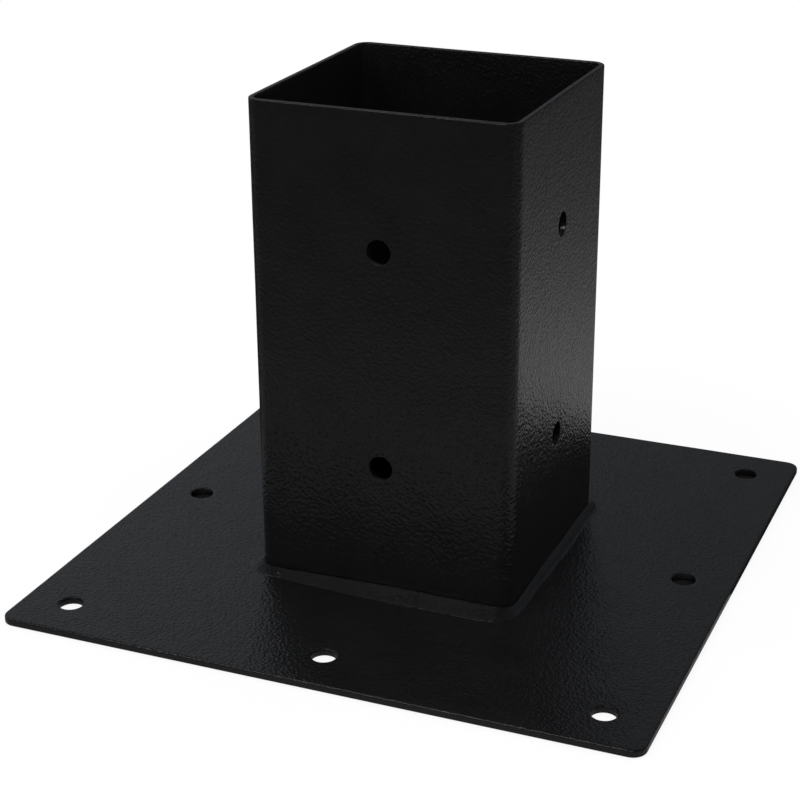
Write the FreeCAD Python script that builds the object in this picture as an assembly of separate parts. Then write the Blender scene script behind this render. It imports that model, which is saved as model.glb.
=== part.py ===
import FreeCAD, Part
import math
import os

# Post base for a 4 by 4 timber post, in millimetres.
# The origin is the centre of the plate's underside, +Z is up the sleeve and -Y is the front.

# Base plate
plate_side = 228.6
plate_thickness = 2.6
plate_corner_radius = 5.0
plate_top_edge_radius = 0.7
plate_under_edge_bevel = 0.4
anchor_hole_diameter = 9.0
anchor_hole_inset = 17.8

# Sleeve, a length of square tube that the post slides into
post_side = 88.9
post_clearance = 1.25
sleeve_wall = 1.9
sleeve_length = 171.5
sleeve_inner_corner_radius = 3.5
sleeve_rim_radius = 0.5
sleeve_mouth_bevel = 0.4
screw_hole_diameter = 8.5
screw_hole_spacing = 77.5
side_face_hole_lift = 1.6

# Broken edge of every hole
hole_edge_bevel = 0.3

# Weld, one run to a side: each starts thin at its left end and ends thick at its right end
weld_start_width = 2.0
weld_end_width = 7.5
weld_start_height = 2.0
weld_end_height = 3.0
weld_crown = 0.12
weld_root = 0.6
weld_steps_per_side = 9
weld_steps_per_corner = 4

# Worked out from the sizes above
sleeve_inner_side = post_side + 2 * post_clearance
sleeve_outer_side = sleeve_inner_side + 2 * sleeve_wall
sleeve_outer_corner_radius = sleeve_inner_corner_radius + sleeve_wall
sleeve_top = plate_thickness + sleeve_length
sleeve_middle = plate_thickness + sleeve_length / 2

# How far a cutting tool runs past what it cuts
overrun = 5.0

x_axis = FreeCAD.Vector(1, 0, 0)
y_axis = FreeCAD.Vector(0, 1, 0)
z_axis = FreeCAD.Vector(0, 0, 1)
quarter_turn = 90


def rounded_square(side, corner_radius, bottom, height):
    """A square prism about the Z axis with rounded upright edges."""
    corner = FreeCAD.Vector(-side / 2, -side / 2, bottom)
    block = Part.makeBox(side, side, height, corner)
    upright = [edge for edge in block.Edges if abs(edge.tangentAt(edge.FirstParameter).z) > 0.5]
    return block.makeFillet(corner_radius, upright)


def edges_at_height(shape, height, over=0, under=math.inf):
    """The edges that lie flat at one height and reach out over one distance and under another."""
    slack = 0.01
    found = []
    for edge in shape.Edges:
        box = edge.BoundBox
        flat = abs(box.ZMin - height) < slack and abs(box.ZMax - height) < slack
        reach = max(abs(box.XMin), abs(box.XMax), abs(box.YMin), abs(box.YMax))
        if flat and over < reach < under:
            found.append(edge)
    return found


def hole_cutter(radius, wall_start, wall_end, wall):
    """A cutter up the Z axis that leaves a round hole with broken edges in a wall."""
    bevel = min(hole_edge_bevel, 0.3 * wall)
    outline = [
        FreeCAD.Vector(0, 0, wall_start - overrun),
        FreeCAD.Vector(radius + bevel, 0, wall_start - overrun),
        FreeCAD.Vector(radius + bevel, 0, wall_start),
        FreeCAD.Vector(radius, 0, wall_start + bevel),
        FreeCAD.Vector(radius, 0, wall_end - bevel),
        FreeCAD.Vector(radius + bevel, 0, wall_end),
        FreeCAD.Vector(radius + bevel, 0, wall_end + overrun),
        FreeCAD.Vector(0, 0, wall_end + overrun),
    ]
    profile = Part.Face(Part.makePolygon(outline + outline[:1]))
    return profile.revolve(FreeCAD.Vector(0, 0, 0), z_axis, 360)


def base_plate():
    """The flat plate, with a hole near each corner and one at the middle of each side."""
    plate = rounded_square(plate_side, plate_corner_radius, 0, plate_thickness)
    top_radius = min(plate_top_edge_radius, 0.4 * plate_thickness)
    under_bevel = min(plate_under_edge_bevel, 0.4 * plate_thickness)
    plate = plate.makeFillet(top_radius, edges_at_height(plate, plate_thickness))
    plate = plate.makeChamfer(under_bevel, edges_at_height(plate, 0))
    cutter = hole_cutter(anchor_hole_diameter / 2, 0, plate_thickness, plate_thickness)
    reach = plate_side / 2 - anchor_hole_inset
    for column in (-1, 0, 1):
        for row in (-1, 0, 1):
            if column == 0 and row == 0:
                continue
            place = FreeCAD.Vector(column * reach, row * reach, 0)
            plate = plate.cut(cutter.translated(place))
    return plate


def post_sleeve():
    """The square tube, with a broken rim and two screw holes in each of its four walls."""
    outside = rounded_square(sleeve_outer_side, sleeve_outer_corner_radius, plate_thickness, sleeve_length)
    inside = rounded_square(
        sleeve_inner_side, sleeve_inner_corner_radius, plate_thickness - overrun, sleeve_length + 2 * overrun)
    mouth_bevel = min(sleeve_mouth_bevel, 0.4 * sleeve_wall)
    rim_radius = min(sleeve_rim_radius, 0.4 * sleeve_wall)
    sleeve = outside.cut(inside)
    wall_middle = (sleeve_inner_side + sleeve_outer_side) / 4
    sleeve = sleeve.makeChamfer(mouth_bevel, edges_at_height(sleeve, sleeve_top, under=wall_middle))
    sleeve = sleeve.makeFillet(rim_radius, edges_at_height(sleeve, sleeve_top, over=wall_middle))
    cutter = hole_cutter(screw_hole_diameter / 2, sleeve_inner_side / 2, sleeve_outer_side / 2, sleeve_wall)
    cutter.rotate(FreeCAD.Vector(0, 0, 0), x_axis, quarter_turn)
    for turn in range(4):
        lift = side_face_hole_lift if turn % 2 else 0
        for half in (-0.5, 0.5):
            hole = cutter.translated(z_axis * (sleeve_middle + lift + half * screw_hole_spacing))
            hole.rotate(FreeCAD.Vector(0, 0, 0), z_axis, turn * quarter_turn)
            sleeve = sleeve.cut(hole)
    return sleeve


def weld_section(foot, outward, width, height):
    """One section of the bead: a crowned curve through both toes, run on into the sleeve's wall and the plate."""
    def point(out, up):
        return foot + outward * out + z_axis * up
    top_of_crown = point(width / 2 + 2 * weld_crown * height, height / 2 + 2 * weld_crown * width)
    face = Part.BezierCurve()
    face.setPoles([point(width, 0), top_of_crown, point(0, height)])
    run_on = weld_root / math.hypot(width, height)
    face.segment(-run_on, 1 + run_on)
    root = point(-weld_root, -weld_root)
    plate_end, sleeve_end = face.StartPoint, face.EndPoint
    return Part.Wire([Part.makeLine(root, plate_end), face.toShape(), Part.makeLine(sleeve_end, root)])


def weld_stretch(steps, reach_start, reach_end, turn, growth_start, growth_end):
    """A stretch of the front run, straight along the sleeve's side or turning round the end of it."""
    centre = sleeve_outer_side / 2 - sleeve_outer_corner_radius
    sections = []
    for step in range(steps + 1):
        share = step / steps
        ease = (1 - math.cos(math.pi * share)) / 2
        growth = growth_start + ease * (growth_end - growth_start)
        width = weld_start_width + growth * (weld_end_width - weld_start_width)
        height = weld_start_height + growth * (weld_end_height - weld_start_height)
        angle = math.radians(turn * share)
        outward = FreeCAD.Vector(math.sin(angle), -math.cos(angle), 0)
        middle = FreeCAD.Vector(reach_start + share * (reach_end - reach_start), -centre, plate_thickness)
        foot = middle + outward * sleeve_outer_corner_radius
        sections.append(weld_section(foot, outward, width, height))
    straight_facets = turn == 0
    return Part.makeLoft(sections, True, straight_facets)


def weld_bead():
    """The fillet weld round the sleeve's foot: four equal runs that flow into each other at the corners."""
    reach = sleeve_outer_side / 2 - sleeve_outer_corner_radius
    along_side = weld_stretch(weld_steps_per_side, -reach, reach, 0, 0, 1)
    round_corner = weld_stretch(weld_steps_per_corner, reach, reach, quarter_turn, 1, 0)
    stretches = []
    for turn in range(4):
        for stretch in (along_side, round_corner):
            placed = stretch.copy()
            placed.rotate(FreeCAD.Vector(0, 0, 0), z_axis, turn * quarter_turn)
            stretches.append(placed)
    bead = stretches[0].multiFuse(stretches[1:])
    sleeve_body = rounded_square(sleeve_outer_side, sleeve_outer_corner_radius, -overrun, sleeve_top)
    plate_body = rounded_square(plate_side, plate_corner_radius, -overrun, plate_thickness + overrun)
    return bead.cut(sleeve_body).cut(plate_body).removeSplitter()


def write(name, shape):
    """Write one piece to its own file, after a look at its solids."""
    solids = shape.Solids
    print(name, "solids", len(solids), "valid", shape.isValid(), "volume", round(shape.Volume, 1))
    piece = solids[0] if len(solids) == 1 else Part.makeCompound(solids)
    piece.exportStep(os.path.join("parts", name + ".step"))


os.makedirs("parts", exist_ok=True)
write("base_plate", base_plate())
write("post_sleeve", post_sleeve())
write("weld_bead", weld_bead())
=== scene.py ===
import math
import bpy
import bmesh
from mathutils import Matrix, Vector
from mathutils.geometry import area_tri, delaunay_2d_cdt
from mathutils.noise import noise

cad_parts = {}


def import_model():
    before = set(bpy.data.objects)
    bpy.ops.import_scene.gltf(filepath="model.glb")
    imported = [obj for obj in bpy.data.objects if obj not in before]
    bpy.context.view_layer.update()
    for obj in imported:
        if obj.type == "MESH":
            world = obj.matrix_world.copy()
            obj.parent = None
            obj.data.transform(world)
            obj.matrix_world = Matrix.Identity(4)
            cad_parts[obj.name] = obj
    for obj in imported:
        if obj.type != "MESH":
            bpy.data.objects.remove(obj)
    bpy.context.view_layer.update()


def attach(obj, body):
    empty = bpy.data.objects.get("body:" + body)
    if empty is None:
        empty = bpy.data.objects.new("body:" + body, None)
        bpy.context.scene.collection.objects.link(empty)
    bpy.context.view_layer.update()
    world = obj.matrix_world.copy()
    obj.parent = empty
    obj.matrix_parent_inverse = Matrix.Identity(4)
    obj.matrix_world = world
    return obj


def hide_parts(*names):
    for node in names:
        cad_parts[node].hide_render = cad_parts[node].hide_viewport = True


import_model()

# Sizes in metres, the same as those of the solids
plate_side = 0.2286
plate_top = 0.0026
plate_corner_radius = 0.005
anchor_hole_radius = 0.0043
anchor_reach = 0.0965
sleeve_outer = 0.0952
sleeve_inner = 0.0914
sleeve_outer_radius = 0.0054
sleeve_inner_radius = 0.0035
sleeve_top = 0.1741
screw_hole_radius = 0.00425
screw_hole_middle = 0.08835
screw_hole_spacing = 0.0775
side_face_lift = 0.0016
quarter = math.pi / 2

# Points nearer than this are joined, and flat triangles smaller than this are left out
weld_distance = 2e-6
smallest_area = 1e-9
cut_tolerance = 1e-7
# Share of a step by which the rows of inner points are set apart, and how far a seed moves a noise
stagger = 0.25
seed_shift = (7.31, 3.17, 5.71)


# Outlines

def rounded_square(half, radius, flat_steps, corner_steps):
    """Points and outward directions round a rounded square, counter-clockwise from its right side."""
    flat = half - radius
    points = []
    for side in range(4):
        turn = Matrix.Rotation(side * quarter, 3, "Z")
        for step in range(flat_steps):
            y = flat * (2 * step / flat_steps - 1)
            points.append((turn @ Vector((half, y, 0)), turn @ Vector((1, 0, 0))))
        for step in range(corner_steps):
            angle = quarter * step / corner_steps
            way = Vector((math.cos(angle), math.sin(angle), 0))
            points.append((turn @ (Vector((flat, flat, 0)) + way * radius), turn @ way))
    return points


def circle(centre, radius, steps):
    """Points of a circle in a flat plane, as pairs."""
    turns = [2 * math.pi * step / steps for step in range(steps)]
    return [(centre[0] + radius * math.cos(a), centre[1] + radius * math.sin(a)) for a in turns]


def lip_profile(top, bottom, top_radius, bottom_radius, steps, top_drop=None):
    """Distance in from the edge and height along a plate's edge, over its two rounded lips."""
    profile = []
    drop = top_drop or top_radius
    for step in range(steps + 1):
        angle = quarter * step / steps
        profile.append((top_radius * (1 - math.sin(angle)), top - drop * (1 - math.cos(angle))))
    for step in range(steps + 1):
        angle = quarter * step / steps
        rise = bottom_radius * (1 - math.sin(angle))
        profile.append((bottom_radius * (1 - math.cos(angle)), bottom + rise))
    return profile


# Mesh building

def add_rings(bm, rings):
    """Join closed rings of points with quads, each ring as long as the next."""
    made = [[bm.verts.new(point) for point in ring] for ring in rings]
    for low, high in zip(made, made[1:]):
        count = len(low)
        for i in range(count):
            j = (i + 1) % count
            bm.faces.new((low[i], low[j], high[j], high[i]))


def fill_flat(bm, loops, inner_points, place):
    """Triangles inside the first loop of pairs but outside the round ones after it, set by place."""
    pairs = []
    edges = []
    loop_numbers = []
    for number, loop in enumerate(loops):
        first = len(pairs)
        pairs.extend(loop)
        loop_numbers.extend([number] * len(loop))
        edges.extend((first + i, first + (i + 1) % len(loop)) for i in range(len(loop)))
    pairs.extend(inner_points)
    loop_numbers.extend([0] * len(inner_points))
    found = delaunay_2d_cdt([Vector(pair) for pair in pairs], edges, [], 0, cut_tolerance)
    spots, triangles, sources = found[0], found[2], found[3]
    numbers = [loop_numbers[source[0]] for source in sources]
    verts = [bm.verts.new(place(spot)) for spot in spots]
    for triangle in triangles:
        corners = [spots[i] for i in triangle]
        touched = {numbers[i] for i in triangle}
        across_hole = len(touched) == 1 and 0 not in touched
        if area_tri(*corners) > smallest_area and not across_hole:
            bm.faces.new([verts[i] for i in triangle])


def grid_points(low, high, step, keep):
    """Pairs on a staggered grid between two corners, where keep allows one."""
    points = []
    rows = int((high[1] - low[1]) / step)
    columns = int((high[0] - low[0]) / step)
    for row in range(1, rows):
        shift = stagger if row % 2 else -stagger
        for column in range(1, columns):
            point = (low[0] + (column + shift) * step, low[1] + row * step)
            if keep(point):
                points.append(point)
    return points


def far_from(point, centres, distance):
    """Whether a pair lies further than a distance from every centre."""
    return all(math.dist(point, centre) > distance for centre in centres)


def waver(bm, size, wavelength, seed, weight):
    """Move each point along its normal by smooth noise, more where weight says so."""
    bm.normal_update()
    shift = Vector([seed * part for part in seed_shift])
    moves = []
    for vert in bm.verts:
        amount = size * noise(vert.co / wavelength + shift) * weight(vert.co)
        moves.append((vert, vert.normal * amount))
    for vert, move in moves:
        vert.co += move


def to_object(name, bm, node):
    """A smooth object on the root body from a mesh that stands for one solid."""
    mesh = bpy.data.meshes.new(name)
    bm.to_mesh(mesh)
    bm.free()
    mesh.shade_smooth()
    piece = bpy.data.objects.new(name, mesh)
    bpy.context.scene.collection.objects.link(piece)
    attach(piece, "root")
    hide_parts(node)
    return piece


# Base plate

plate_lip = 0.0007
plate_under_lip = 0.0004
plate_rows = (0.0032, 0.0022, 0.0014)
anchor_lip = 0.0009
anchor_lip_drop = 0.0003
anchor_under_lip = 0.0001
hole_lip = 0.0002
lip_steps = 6
hole_steps = 56
plate_edge_steps = 150
plate_corner_steps = 10
plate_grid = 0.003
plate_waver, plate_waver_length = 0.00004, 0.022


def anchor_centres():
    """Centres of the plate's eight holes, at its corners and at the middles of its sides."""
    spots = []
    for column in (-1, 0, 1):
        for row in (-1, 0, 1):
            if column or row:
                spots.append((column * anchor_reach, row * anchor_reach))
    return spots


def plate_ring(inset, height):
    """A ring of points round the plate's edge, drawn in by an inset."""
    half = plate_side / 2 - inset
    ring = rounded_square(half, plate_corner_radius - inset, plate_edge_steps, plate_corner_steps)
    return [Vector((point.x, point.y, height)) for point, way in ring]


def base_plate():
    """The flat plate with its rounded edge and eight holes, top and underside filled with triangles."""
    bm = bmesh.new()
    centres = anchor_centres()
    edge = [(inset, plate_top) for inset in plate_rows]
    edge += lip_profile(plate_top, 0, plate_lip, plate_under_lip, lip_steps)
    add_rings(bm, [plate_ring(inset, height) for inset, height in edge])
    for centre in centres:
        hole = lip_profile(plate_top, 0, anchor_lip, anchor_under_lip, lip_steps, anchor_lip_drop)
        rings = []
        for inset, height in hole:
            pairs = circle(centre, anchor_hole_radius + inset, hole_steps)
            rings.append([Vector((x, y, height)) for x, y in reversed(pairs)])
        add_rings(bm, rings)

    half = plate_side / 2

    def clear(pair):
        off_edge = max(abs(pair[0]), abs(pair[1])) < half - plate_rows[0] - plate_grid / 2
        return off_edge and far_from(pair, centres, anchor_hole_radius + anchor_lip + plate_grid / 2)

    spread = grid_points((-half, -half), (half, half), plate_grid, clear)
    faces = (plate_top, plate_rows[0], anchor_lip, spread), (0, plate_under_lip, anchor_under_lip, [])
    for height, inset, lip, extra in faces:
        loops = [[(p.x, p.y) for p in plate_ring(inset, height)]]
        loops += [circle(centre, anchor_hole_radius + lip, hole_steps) for centre in centres]
        fill_flat(bm, loops, extra, lambda spot, z=height: Vector((spot[0], spot[1], z)))
    bmesh.ops.remove_doubles(bm, verts=bm.verts, dist=weld_distance)
    bmesh.ops.recalc_face_normals(bm, faces=bm.faces)

    def upper(co):
        return min(max(co.z / plate_top, 0), 1)

    waver(bm, plate_waver, plate_waver_length, 1, upper)
    return to_object("coated_plate", bm, "base_plate")


# Sleeve

rim_lip = 0.0005
mouth_lip = 0.0004
sleeve_flat_steps = 56
sleeve_corner_steps = 10
sleeve_row = 0.003
sleeve_hole_margin = 0.0006
sleeve_waver, sleeve_waver_length = 0.00005, 0.03
sleeve_still_foot = 0.01
roll_slack = 1e-9


def wall_columns(half, radius):
    """Distance round the outline of each upright column of points, with its place and outward direction."""
    ring = rounded_square(half, radius, sleeve_flat_steps, sleeve_corner_steps)
    flat_step = 2 * (half - radius) / sleeve_flat_steps
    corner_step = quarter * radius / sleeve_corner_steps
    columns = []
    travelled = 0
    for i, (point, way) in enumerate(ring):
        columns.append((travelled, point, way))
        in_flat = i % (sleeve_flat_steps + sleeve_corner_steps) < sleeve_flat_steps
        travelled += flat_step if in_flat else corner_step
    return columns, travelled


def sleeve_hole_heights(side):
    """Heights of the two holes in one face, where side 0 is the right one."""
    lift = 0 if side % 2 else side_face_lift
    middle = screw_hole_middle + lift
    return middle - screw_hole_spacing / 2, middle + screw_hole_spacing / 2


def wall_skin(bm, half, radius, bottom, top, lip):
    """One skin of the tube, unrolled, filled between its ends and holes, and rolled back."""
    columns, length = wall_columns(half, radius)
    side_length = length / 4
    flat = half - radius
    starts = [column[0] for column in columns] + [length]
    places = [column[1] for column in columns] + [columns[0][1]]

    def roll(spot):
        s = min(max(spot[0], 0), length)
        low, high = 0, len(starts) - 1
        while high - low > 1:
            middle = (low + high) // 2
            if starts[middle] <= s + roll_slack:
                low = middle
            else:
                high = middle
        share = (s - starts[low]) / (starts[high] - starts[low])
        point = places[low].lerp(places[high], min(share, 1))
        return Vector((point.x, point.y, spot[1]))

    centres = []
    for side in range(4):
        for height in sleeve_hole_heights(side):
            centres.append((side * side_length + flat, height))
    rows = round((top - bottom) / sleeve_row)
    row_heights = [bottom + (top - bottom) * i / rows for i in range(rows + 1)]
    outline = [(s, bottom) for s in starts]
    outline += [(length, z) for z in row_heights[1:-1]]
    outline += [(s, top) for s in reversed(starts)]
    outline += [(0, z) for z in reversed(row_heights[1:-1])]
    loop_radius = screw_hole_radius + lip
    loops = [outline] + [circle(centre, loop_radius, hole_steps) for centre in centres]
    extra = []
    for s in starts[1:-1]:
        for z in row_heights[1:-1]:
            if far_from((s, z), centres, loop_radius + sleeve_hole_margin):
                extra.append((s, z))
    fill_flat(bm, loops, extra, roll)


def sleeve_rim(bm):
    """The rounded rim between the outer and the inner skin."""
    wall = (sleeve_outer - sleeve_inner) / 2
    rings = []
    for step in range(lip_steps + 1):
        angle = quarter * step / lip_steps
        rings.append((rim_lip * (1 - math.cos(angle)), sleeve_top - rim_lip * (1 - math.sin(angle))))
    for step in range(lip_steps + 1):
        angle = quarter * step / lip_steps
        drop = mouth_lip * (1 - math.cos(angle))
        rings.append((wall - mouth_lip * (1 - math.sin(angle)), sleeve_top - drop))
    outer = wall_columns(sleeve_outer / 2, sleeve_outer_radius)[0]
    inner = wall_columns(sleeve_inner / 2, sleeve_inner_radius)[0]
    loops = []
    for inset, height in rings:
        loop = []
        for out_column, in_column in zip(outer, inner):
            point = out_column[1].lerp(in_column[1], inset / wall)
            loop.append(Vector((point.x, point.y, height)))
        loops.append(loop)
    add_rings(bm, loops)


def sleeve_foot(bm):
    """The flat end of the tube on the plate."""
    outer = wall_columns(sleeve_outer / 2, sleeve_outer_radius)[0]
    inner = wall_columns(sleeve_inner / 2, sleeve_inner_radius)[0]
    loops = [[Vector((c[1].x, c[1].y, plate_top)) for c in columns] for columns in (inner, outer)]
    add_rings(bm, loops)


def screw_hole_walls(bm):
    """The rounded bore of every screw hole, between the outer and the inner skin."""
    for side in range(4):
        turn = Matrix.Rotation(side * quarter, 3, "Z")
        for height in sleeve_hole_heights(side):
            profile = lip_profile(sleeve_outer / 2, sleeve_inner / 2, hole_lip, hole_lip, lip_steps)
            rings = []
            for inset, depth in profile:
                pairs = circle((0, height), screw_hole_radius + inset, hole_steps)
                rings.append([turn @ Vector((depth, y, z)) for y, z in reversed(pairs)])
            add_rings(bm, rings)


def post_sleeve():
    """The square tube from its two skins, its rim, its foot and its holes."""
    bm = bmesh.new()
    wall_skin(bm, sleeve_outer / 2, sleeve_outer_radius, plate_top, sleeve_top - rim_lip, hole_lip)
    wall_skin(bm, sleeve_inner / 2, sleeve_inner_radius, plate_top, sleeve_top - mouth_lip, hole_lip)
    sleeve_rim(bm)
    sleeve_foot(bm)
    screw_hole_walls(bm)
    bmesh.ops.remove_doubles(bm, verts=bm.verts, dist=weld_distance)
    bmesh.ops.recalc_face_normals(bm, faces=bm.faces)

    def above_foot(co):
        return min(max((co.z - plate_top) / sleeve_still_foot, 0), 1)

    waver(bm, sleeve_waver, sleeve_waver_length, 3, above_foot)
    return to_object("coated_sleeve", bm, "post_sleeve")


# Weld

weld_flat_steps = 84
weld_corner_steps = 12
weld_start_height = 0.0019
weld_end_height = 0.0030
weld_growing_share = 0.5
# Start and end widths of the runs on the right, back, left and front sides
weld_run_widths = (0.0024, 0.0030), (0.0034, 0.0055), (0.0036, 0.0048), (0.0040, 0.0070)
weld_sink = 0.0004
weld_profile_steps = 16
# How far the section's ends run under the plate's face and inside the sleeve's
weld_overlap = 0.0001
weld_toe_run, weld_toe_back = 0.0018, 0.0002
# Shares of width and height that the section's two inner controls have
weld_lower_share = (0.69, 0.37)
weld_upper_share = (0.36, 0.7)
weld_crown, weld_crown_change = 0.02, 0.07
# Shares by which the width and the height change, and the lengths over which they do
weld_uneven_share, weld_uneven_length = 0.14, 0.011
weld_fine_share, weld_fine_length = 0.03, 0.004
weld_height_share, weld_height_length = 0.1, 0.014
weld_lump, weld_lump_length = 0.00012, 0.006
weld_ripple, weld_ripple_length = 0.00005, 0.0024
weld_still_foot, weld_still_rise = 0.0002, 0.0008
# Offsets that set the bead's three noises apart
weld_uneven_seed, weld_fine_seed, weld_height_seed = (0, 0, 4.2), (0, 0, 9.1), (5.0, 0, 0)


def spline_point(controls, share):
    """A point on the smooth quadratic spline through a list of control pairs."""
    spans = len(controls) - 2
    place = min(share * spans, spans - 1e-9)
    span = int(place)
    t = place - span
    a, b, c = (Vector(controls[span + i]) for i in range(3))
    return a * (1 - t) ** 2 / 2 + b * (0.5 + t - t * t) + c * t * t / 2


def weld_profile(width, height, crown):
    """Outward and upward distances over the bead, from under the plate's face to inside the sleeve's."""
    controls = [
        (width + weld_toe_run, -weld_overlap),
        (width - weld_toe_back, weld_overlap),
        (weld_lower_share[0] * width, (weld_lower_share[1] + crown) * height),
        (weld_upper_share[0] * width, (weld_upper_share[1] + crown / 2) * height),
        (-weld_overlap, height),
    ]
    return [spline_point(controls, step / weld_profile_steps) for step in range(weld_profile_steps + 1)]


def weld_size(step):
    """Width and height of the bead at a station: it grows along each run and shrinks round the corner."""
    side, along = divmod(step, weld_flat_steps + weld_corner_steps)
    start, end = weld_run_widths[side]
    if along < weld_flat_steps:
        share = min(along / (weld_flat_steps * weld_growing_share), 1)
        growth = (1 - math.cos(math.pi * share)) / 2
    else:
        growth = (1 + math.cos(math.pi * (along - weld_flat_steps) / weld_corner_steps)) / 2
        start = weld_run_widths[(side + 1) % 4][0]
    height = weld_start_height + growth * (weld_end_height - weld_start_height)
    return start + growth * (end - start), height


def weld_bead():
    """The bead as one closed ring of sections round the sleeve's foot, uneven along its length."""
    bm = bmesh.new()
    ring = rounded_square(sleeve_outer / 2, sleeve_outer_radius, weld_flat_steps, weld_corner_steps)
    stations = []
    for step, (point, way) in enumerate(ring):
        uneven = noise(point / weld_uneven_length + Vector(weld_uneven_seed))
        fine = noise(point / weld_fine_length + Vector(weld_fine_seed))
        width, height = weld_size(step)
        width *= 1 + weld_uneven_share * uneven + weld_fine_share * fine
        high = noise(point / weld_height_length + Vector(weld_height_seed))
        height *= 1 + weld_height_share * high
        profile = weld_profile(width, height, weld_crown + weld_crown_change * uneven)
        foot = Vector((point.x, point.y, plate_top))
        section = [foot + way * pair.x + Vector((0, 0, pair.y)) for pair in profile]
        section.append(foot - way * weld_sink + Vector((0, 0, profile[-1].y)))
        section.append(foot - way * weld_sink - Vector((0, 0, weld_sink)))
        section.append(foot + way * profile[0].x - Vector((0, 0, weld_sink)))
        stations.append(section)
    count = len(stations[0])
    rings = [[station[i] for station in stations] for i in range(count)]
    add_rings(bm, rings + [rings[0]])
    bmesh.ops.remove_doubles(bm, verts=bm.verts, dist=weld_distance)
    bmesh.ops.recalc_face_normals(bm, faces=bm.faces)

    def on_crown(co):
        return min(max((co.z - plate_top - weld_still_foot) / weld_still_rise, 0), 1)

    waver(bm, weld_lump, weld_lump_length, 6, on_crown)
    waver(bm, weld_ripple, weld_ripple_length, 7, on_crown)
    return to_object("coated_weld", bm, "weld_bead")


# Materials

coat_base = 0.006
coat_roughness = 0.22
coat_ior = 1.5
coat_roughness_less, coat_roughness_more = 0.04, 0.05
# Scales of the coat's noises, in cells to a metre, and the shares of the height that they give
bend_scale, bend_reach = 600, 0.0007
dimple_scale, dimple_smoothness = 850, 0.8
swell_scale, swell_share = 1100, 1.0
grain_scale, grain_share = 2600, 0.06
broad_scale, broad_share = 160, 0.8
shade_scale, gloss_scale = 45, 90
shade_dark, shade_light = (0.85, 0.85, 0.9), (1.12, 1.13, 1.22)
shade_from, shade_to = 0.35, 0.65


def math_node(tree, kind, first, second=None):
    """A math node on two sockets or numbers, and its output."""
    made = tree.nodes.new("ShaderNodeMath")
    made.operation = kind
    for socket, value in zip(made.inputs, (first, second)):
        if value is None:
            continue
        if isinstance(value, (int, float)):
            socket.default_value = value
        else:
            tree.links.new(value, socket)
    return made.outputs[0]


def ease(tree, value, start, end, low, high):
    """A smooth step from a low to a high value while a socket goes from start to end."""
    made = tree.nodes.new("ShaderNodeMapRange")
    made.interpolation_type = "SMOOTHSTEP"
    ends = {"From Min": start, "From Max": end, "To Min": low, "To Max": high}
    for key, number in ends.items():
        made.inputs[key].default_value = number
    tree.links.new(value, made.inputs["Value"])
    return made.outputs["Result"]


def new_material(name):
    """An empty node material with its output node."""
    material = bpy.data.materials.new(name)
    material.use_nodes = True
    tree = material.node_tree
    tree.nodes.clear()
    output = tree.nodes.new("ShaderNodeOutputMaterial")
    return material, tree, output


def texture(tree, coordinates, kind, scale, **settings):
    """A texture node of one kind and scale, with its inputs or properties set by name."""
    made = tree.nodes.new(kind)
    made.inputs["Scale"].default_value = scale
    for key, value in settings.items():
        if key in made.inputs:
            made.inputs[key].default_value = value
        else:
            setattr(made, key, value)
    tree.links.new(coordinates, made.inputs["Vector"])
    return made


def hammered_coat(name, peel_height):
    """Black powder coat with the soft round dimples of a hammered finish."""
    material, tree, output = new_material(name)
    links = tree.links
    place = tree.nodes.new("ShaderNodeTexCoord").outputs["Object"]

    bend = texture(tree, place, "ShaderNodeTexNoise", bend_scale, Detail=1.0, Roughness=0.5)
    bent = tree.nodes.new("ShaderNodeVectorMath")
    bent.operation = "MULTIPLY_ADD"
    links.new(bend.outputs["Color"], bent.inputs[0])
    bent.inputs[1].default_value = (bend_reach, bend_reach, bend_reach)
    links.new(place, bent.inputs[2])
    dimples = texture(tree, bent.outputs[0], "ShaderNodeTexVoronoi", dimple_scale, feature="SMOOTH_F1",
                      Smoothness=dimple_smoothness)
    swell = texture(tree, place, "ShaderNodeTexNoise", swell_scale, Detail=1.0, Roughness=0.4)
    grain = texture(tree, place, "ShaderNodeTexNoise", grain_scale, Detail=2.0, Roughness=0.5)
    broad = texture(tree, place, "ShaderNodeTexNoise", broad_scale, Detail=1.0, Roughness=0.5)

    height = dimples.outputs["Distance"]
    for layer, share in ((swell, swell_share), (broad, broad_share), (grain, grain_share)):
        height = math_node(tree, "ADD", height, math_node(tree, "MULTIPLY", layer.outputs["Fac"], share))
    bump = tree.nodes.new("ShaderNodeBump")
    bump.inputs["Strength"].default_value = 1.0
    bump.inputs["Distance"].default_value = peel_height
    links.new(height, bump.inputs["Height"])

    shade = texture(tree, place, "ShaderNodeTexNoise", shade_scale, Detail=3.0, Roughness=0.6)
    colour = tree.nodes.new("ShaderNodeValToRGB")
    ends = (shade_from, shade_dark), (shade_to, shade_light)
    for element, (position, tone) in zip(colour.color_ramp.elements, ends):
        element.position = position
        element.color = [coat_base * part for part in tone] + [1]
    links.new(shade.outputs["Fac"], colour.inputs["Fac"])

    gloss = tree.nodes.new("ShaderNodeMapRange")
    gloss.inputs["To Min"].default_value = coat_roughness - coat_roughness_less
    gloss.inputs["To Max"].default_value = coat_roughness + coat_roughness_more
    gloss_noise = texture(tree, place, "ShaderNodeTexNoise", gloss_scale, Detail=4.0, Roughness=0.6)
    links.new(gloss_noise.outputs["Fac"], gloss.inputs["Value"])

    shader = tree.nodes.new("ShaderNodeBsdfPrincipled")
    shader.inputs["IOR"].default_value = coat_ior
    shader.inputs["Metallic"].default_value = 0.0
    links.new(colour.outputs["Color"], shader.inputs["Base Color"])
    links.new(gloss.outputs["Result"], shader.inputs["Roughness"])
    links.new(bump.outputs["Normal"], shader.inputs["Normal"])
    links.new(shader.outputs["BSDF"], output.inputs["Surface"])
    return material


# Studio

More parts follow.
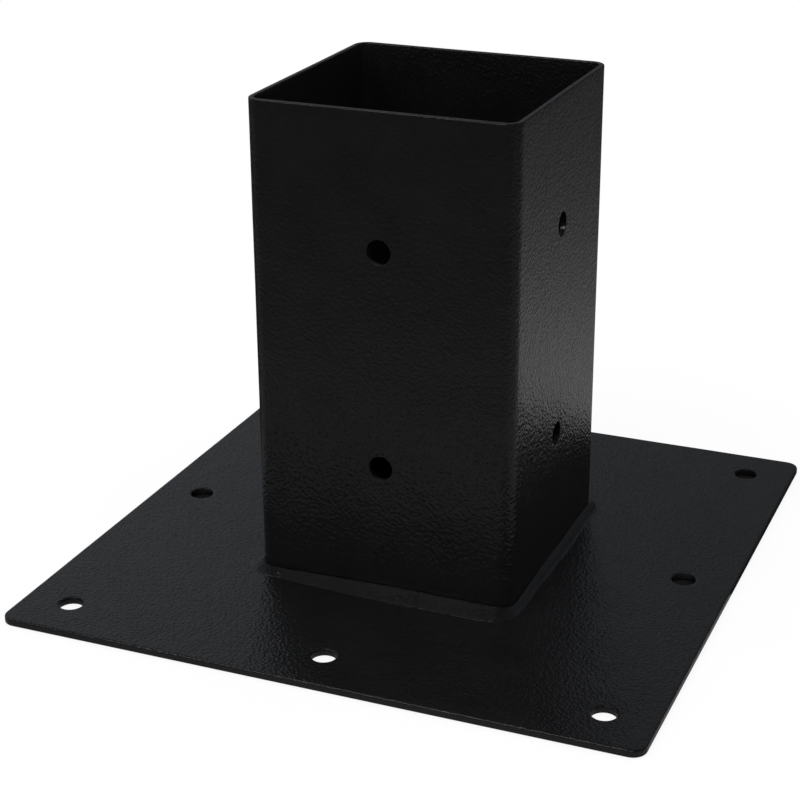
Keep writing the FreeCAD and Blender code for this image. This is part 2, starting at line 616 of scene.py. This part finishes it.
def floor_material():
    """White to the camera, with the object's shadow; a painted pool and strip of light seen only in
    reflections, a painted shadow in those reflections beside the plate, and painted shade in the far halves
    of the middle and rear holes.
    """
    material, tree, output = new_material("pale_floor")
    links = tree.links
    place = tree.nodes.new("ShaderNodeNewGeometry").outputs["Position"]
    parts = tree.nodes.new("ShaderNodeSeparateXYZ")
    links.new(place, parts.inputs[0])

    def pool(x, y, width):
        dx = math_node(tree, "DIVIDE", math_node(tree, "SUBTRACT", parts.outputs["X"], x), width)
        dy = math_node(tree, "DIVIDE", math_node(tree, "SUBTRACT", parts.outputs["Y"], y), width)
        dx = math_node(tree, "POWER", dx, 2.0)
        dy = math_node(tree, "POWER", dy, 2.0)
        square = math_node(tree, "ADD", dx, dy)
        return math_node(tree, "DIVIDE", 1.0, math_node(tree, "ADD", 1.0, square))

    # Painted pool of light behind and painted strip of light ahead, seen only by glossy rays
    behind = math_node(tree, "MULTIPLY", pool(pool_x, pool_y, pool_width), pool_level)
    along = math_node(tree, "SUBTRACT", parts.outputs["Y"], ahead_y)
    along = math_node(tree, "POWER", math_node(tree, "DIVIDE", along, ahead_width), 2.0)
    strip = math_node(tree, "DIVIDE", 1.0, math_node(tree, "ADD", 1.0, along))
    ahead = math_node(tree, "MULTIPLY", strip, ahead_level)
    seen = math_node(tree, "ADD", math_node(tree, "ADD", behind, ahead), floor_level)

    # Painted shadow: behind and to the right, the floor's painted light in reflections is set in a little
    # way off the plate and is dark right beside it
    front = math_node(tree, "LESS_THAN", parts.outputs["Y"], 0.0)
    front = math_node(tree, "MULTIPLY", front, floor_half * 2)
    reach = math_node(tree, "MAXIMUM", parts.outputs["X"], parts.outputs["Y"])
    reach = math_node(tree, "ADD", reach, front)
    clear = ease(tree, reach, plate_side / 2, plate_side / 2 + painted_shadow_width, 0.0, 1.0)
    seen = math_node(tree, "MULTIPLY", seen, clear)

    # Painted shade: under the plate the floor is dark in the far halves of the middle and rear holes
    painted_shade = math_node(tree, "GREATER_THAN", parts.outputs["Y"], painted_shade_from)
    past_row = math_node(tree, "FLOORED_MODULO", parts.outputs["Y"], anchor_reach)
    far_half = math_node(tree, "LESS_THAN", past_row, painted_shade_depth)
    painted_shade = math_node(tree, "MULTIPLY", painted_shade, far_half)
    for axis in ("X", "Y"):
        within = math_node(tree, "ABSOLUTE", parts.outputs[axis])
        within = math_node(tree, "LESS_THAN", within, plate_side / 2 - painted_shade_inset)
        painted_shade = math_node(tree, "MULTIPLY", painted_shade, within)
    outside_painted_shade = math_node(tree, "SUBTRACT", 1.0, painted_shade)

    ray = tree.nodes.new("ShaderNodeLightPath")
    direct = math_node(tree, "MULTIPLY", ray.outputs["Is Camera Ray"], floor_glow)
    mirrored = math_node(tree, "MULTIPLY", ray.outputs["Is Glossy Ray"], seen)
    bounced = math_node(tree, "MULTIPLY", ray.outputs["Is Diffuse Ray"], floor_bounce)
    total = math_node(tree, "ADD", direct, math_node(tree, "ADD", mirrored, bounced))
    strength = math_node(tree, "MULTIPLY", total, outside_painted_shade)
    glow = tree.nodes.new("ShaderNodeEmission")
    links.new(strength, glow.inputs["Strength"])
    # Pale floor to the camera except in the painted shade of the holes, and a dark floor to every other ray
    tint = tree.nodes.new("ShaderNodeMixRGB")
    tint.inputs["Color1"].default_value = (painted_shade_and_off_camera_floor_colour, painted_shade_and_off_camera_floor_colour, painted_shade_and_off_camera_floor_colour, 1)
    tint.inputs["Color2"].default_value = (floor_colour, floor_colour, floor_colour, 1)
    links.new(math_node(tree, "MULTIPLY", outside_painted_shade, ray.outputs["Is Camera Ray"]), tint.inputs["Fac"])
    matte = tree.nodes.new("ShaderNodeBsdfDiffuse")
    links.new(tint.outputs["Color"], matte.inputs["Color"])
    both = tree.nodes.new("ShaderNodeAddShader")
    links.new(glow.outputs[0], both.inputs[0])
    links.new(matte.outputs[0], both.inputs[1])
    links.new(both.outputs[0], output.inputs["Surface"])
    return material


def floor():
    """A wide flat floor just under the plate."""
    half = floor_half
    mesh = bpy.data.meshes.new("floor")
    corners = [(-half, -half, 0), (half, -half, 0), (half, half, 0), (-half, half, 0)]
    mesh.from_pydata(corners, [], [(0, 1, 2, 3)])
    piece = bpy.data.objects.new("floor", mesh)
    bpy.context.scene.collection.objects.link(piece)
    piece.location.z = -floor_drop
    mesh.materials.append(floor_material())


def world():
    """White to the camera, even light on the object, and a soft gradient in its reflections."""
    made = bpy.data.worlds.new("studio")
    bpy.context.scene.world = made
    made.use_nodes = True
    tree = made.node_tree
    tree.nodes.clear()
    links = tree.links
    output = tree.nodes.new("ShaderNodeOutputWorld")
    way = tree.nodes.new("ShaderNodeTexCoord").outputs["Generated"]
    leaning = tree.nodes.new("ShaderNodeVectorMath")
    leaning.operation = "DOT_PRODUCT"
    links.new(way, leaning.inputs[0])
    leaning.inputs[1].default_value = world_way
    gradient = ease(tree, leaning.outputs["Value"], world_from, world_to, world_dark, world_bright)
    parts = tree.nodes.new("ShaderNodeSeparateXYZ")
    links.new(way, parts.inputs[0])
    rising = ease(tree, parts.outputs["Z"], 0.0, world_full_height, world_low_share, 1.0)
    fading = ease(tree, parts.outputs["Z"], world_fade_height, 1.0, 1.0, world_high_share)
    side = ease(tree, parts.outputs["X"], world_side_from, world_side_to, 1.0, world_side_share)
    for share in (rising, fading, side):
        gradient = math_node(tree, "MULTIPLY", gradient, share)

    ray = tree.nodes.new("ShaderNodeLightPath")
    light = math_node(tree, "MULTIPLY", ray.outputs["Is Diffuse Ray"], world_light)
    mirrored = math_node(tree, "MULTIPLY", ray.outputs["Is Glossy Ray"], gradient)
    strength = math_node(tree, "ADD", ray.outputs["Is Camera Ray"], math_node(tree, "ADD", light, mirrored))
    tint = tree.nodes.new("ShaderNodeMixRGB")
    tint.inputs["Color1"].default_value = (1, 1, 1, 1)
    tint.inputs["Color2"].default_value = world_tint
    links.new(ray.outputs["Is Glossy Ray"], tint.inputs["Fac"])
    sky = tree.nodes.new("ShaderNodeBackground")
    links.new(tint.outputs["Color"], sky.inputs["Color"])
    links.new(strength, sky.inputs["Strength"])
    links.new(sky.outputs[0], output.inputs["Surface"])


def soft_box(name, spot, target, width, height, radiance):
    """A rectangular lamp turned to a target, with its brightness given as radiance."""
    lamp = bpy.data.lights.new(name, "AREA")
    lamp.shape = "RECTANGLE"
    lamp.size = width
    lamp.size_y = height
    lamp.energy = radiance * math.pi * width * height
    piece = bpy.data.objects.new(name, lamp)
    piece.location = spot
    piece.rotation_euler = (Vector(target) - Vector(spot)).to_track_quat("-Z", "Y").to_euler()
    bpy.context.scene.collection.objects.link(piece)


def camera():
    """The photograph's camera, from its place and the directions of its picture axes."""
    data = bpy.data.cameras.new("camera")
    data.sensor_width = film_width
    data.lens = camera_focal / picture_width * film_width
    data.shift_x = (picture_width / 2 - camera_centre[0]) / picture_width
    data.shift_y = (camera_centre[1] - picture_width / 2) / picture_width
    data.clip_start = nearest_seen
    data.clip_end = farthest_seen
    piece = bpy.data.objects.new("camera", data)
    right, down = Vector(camera_right), Vector(camera_down)
    back = right.cross(-down)
    turn = Matrix((right, -down, back)).transposed()
    piece.matrix_world = Matrix.Translation(camera_place) @ turn.to_4x4()
    bpy.context.scene.collection.objects.link(piece)
    bpy.context.scene.camera = piece


# Values of the studio and the camera

floor_half = 3.0
floor_drop = 0.0001
# Painted pool of light on the floor behind and painted strip of light ahead, seen only in reflections, and
# the width of the painted shadow by which they set in off the plate
pool_x, pool_y, pool_width, pool_level = 0.1, 0.14, 0.185, 0.32
ahead_y, ahead_width, ahead_level = -0.13, 0.08, 0.09
painted_shadow_width = 0.026
floor_level = 0.05
# Brightness of the floor to the camera and to diffuse rays, and its colour
floor_glow = 0.84
floor_colour = 0.16
floor_bounce = 0.4
# Painted shade in the far halves of the middle and rear holes: where it starts, how deep each patch is and
# how far in from the plate's edge it stops; its colour is also the floor's colour to every ray but the
# camera's
painted_shade_from = -0.06
painted_shade_depth = 0.01
painted_shade_inset = 0.001
painted_shade_and_off_camera_floor_colour = 0.012
# Brighter side of the reflected sky, with the heights and the width over which it changes
world_way = (-0.9, 0.3, 0.3)
world_from, world_to = 0.55, 0.85
world_dark, world_bright = 0.15, 0.315
world_full_height, world_low_share = 0.38, 0.35
world_fade_height, world_high_share = 0.5, 0.15
world_tint = (0.95, 1.0, 1.09, 1)
world_side_from, world_side_to, world_side_share = -0.1, 0.25, 0.6
world_light = 0.95
box_place, box_target = (-0.31, -0.76, 1.12), (0.0, 0.0, 0.0)
box_width, box_height, box_radiance = 0.9, 0.33, 3.6
# Camera in metres, with its focal length and picture centre in pixels of the photograph
film_width = 36
picture_width = 800
nearest_seen, farthest_seen = 0.01, 20
camera_place = (0.23737, -0.59759, 0.32326)
camera_right = (0.928503, 0.371326, 0.000011)
camera_down = (0.146208, -0.365565, -0.919231)
camera_focal = 1921.7
camera_centre = (427.8, 422.6)
# Height of the coat's dimples on each piece
plate_peel = 0.00017
sleeve_peel = 0.00019
weld_peel = 0.00015

for make, peel in ((base_plate, plate_peel), (post_sleeve, sleeve_peel), (weld_bead, weld_peel)):
    piece = make()
    piece.data.materials.append(hammered_coat(piece.name + "_finish", peel))
floor()
world()
soft_box("overhead", box_place, box_target, box_width, box_height, box_radiance)
camera()
bpy.context.scene.view_settings.view_transform = "Standard"
